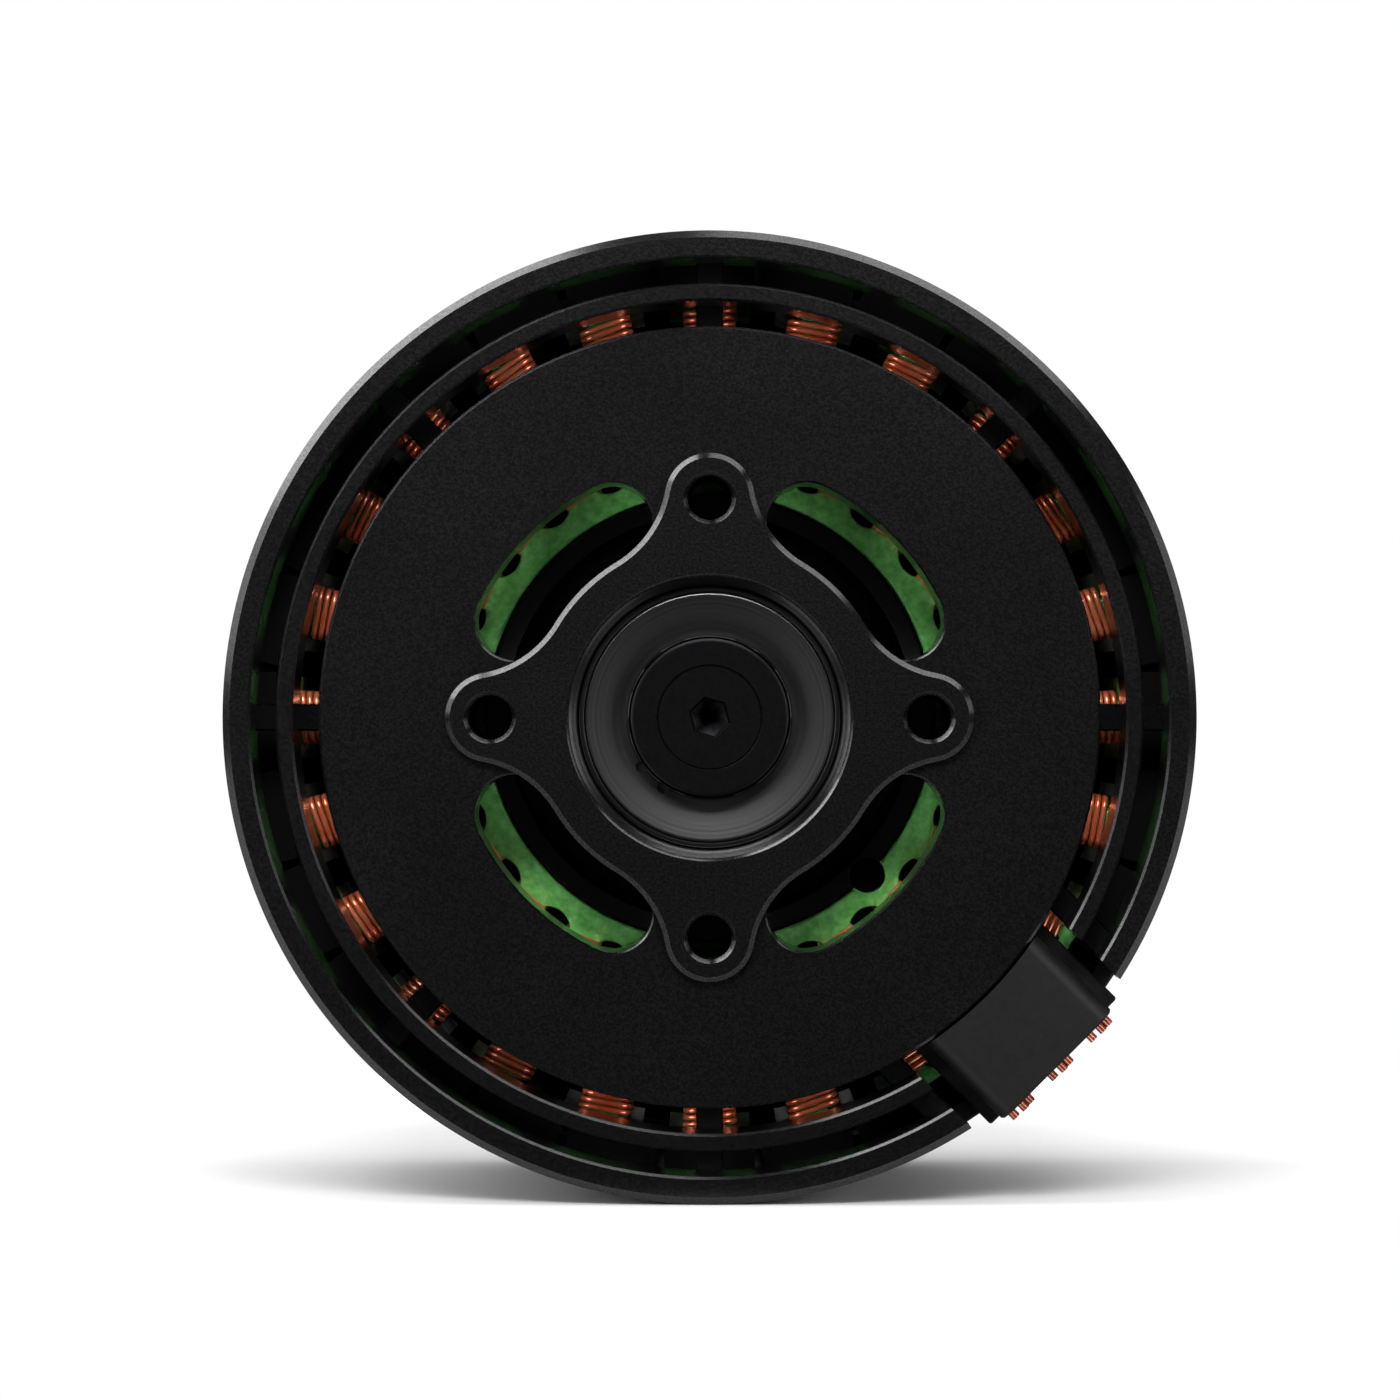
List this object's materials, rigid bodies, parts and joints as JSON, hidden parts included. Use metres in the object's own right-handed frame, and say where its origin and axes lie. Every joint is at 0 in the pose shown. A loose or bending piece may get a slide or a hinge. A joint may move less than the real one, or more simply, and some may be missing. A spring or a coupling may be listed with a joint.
{
  "type": "brushless motor",
  "caption": "Flat outrunner brushless motor with a cross-shaped mounting boss, open guard rings, wound stator and an axial shaft through a shielded bearing.",
  "frame": {"origin": "on the motor's axis, at the face of the propeller boss that the motor stands on", "axes": "+Z along the shaft, from the propeller boss to the mounting face; +X and +Y through the mounting holes; the leads leave between +X and -Y"},
  "size_m": [0.0556, 0.0556, 0.0318],
  "materials": {
    "black_anodised": "fine bead-blasted black anodising",
    "guard_black": "moulded satin black",
    "green_epoxy": "green epoxy over laminated steel",
    "copper_wire": "clear enamel over copper wire",
    "bearing_steel": "ground bearing steel",
    "flux_steel": "blackened steel with bonded magnets",
    "fastener_black": "black oxide"
  },
  "bodies": {
    "held_side": {"mount_base": "black_anodised", "lead_guard": "guard_black", "stator_core": "green_epoxy", "stator_key": "bearing_steel", "lead_a": "copper_wire", "lead_b": "copper_wire", "lead_c": "copper_wire", "coil_01": "copper_wire", "coil_02": "copper_wire", "coil_03": "copper_wire", "coil_04": "copper_wire", "coil_05": "copper_wire", "coil_06": "copper_wire", "coil_07": "copper_wire", "coil_08": "copper_wire", "coil_09": "copper_wire", "coil_10": "copper_wire", "coil_11": "copper_wire", "coil_12": "copper_wire", "coil_13": "copper_wire", "coil_14": "copper_wire", "coil_15": "copper_wire", "coil_16": "copper_wire", "coil_17": "copper_wire", "coil_18": "copper_wire", "coil_19": "copper_wire", "coil_20": "copper_wire", "coil_21": "copper_wire", "coil_22": "copper_wire", "coil_23": "copper_wire", "coil_24": "copper_wire", "front_bearing_outer": "bearing_steel", "rear_bearing_outer": "bearing_steel"},
    "turning_side": {"rotor_bell": "black_anodised", "magnet_ring": "flux_steel", "shaft": "bearing_steel", "inner_spacer": "bearing_steel", "grub_screw_1": "fastener_black", "grub_screw_2": "fastener_black", "shaft_washer": "fastener_black", "shaft_screw": "fastener_black", "front_bearing_inner": "bearing_steel", "rear_bearing_inner": "bearing_steel"}
  },
  "joints": [
    {"name": "rotor_spin", "type": "hinge", "parent": "held_side", "child": "turning_side", "pos_m": [0, 0, 0], "axis": [0, 0, 1], "continuous": true}
  ]
}
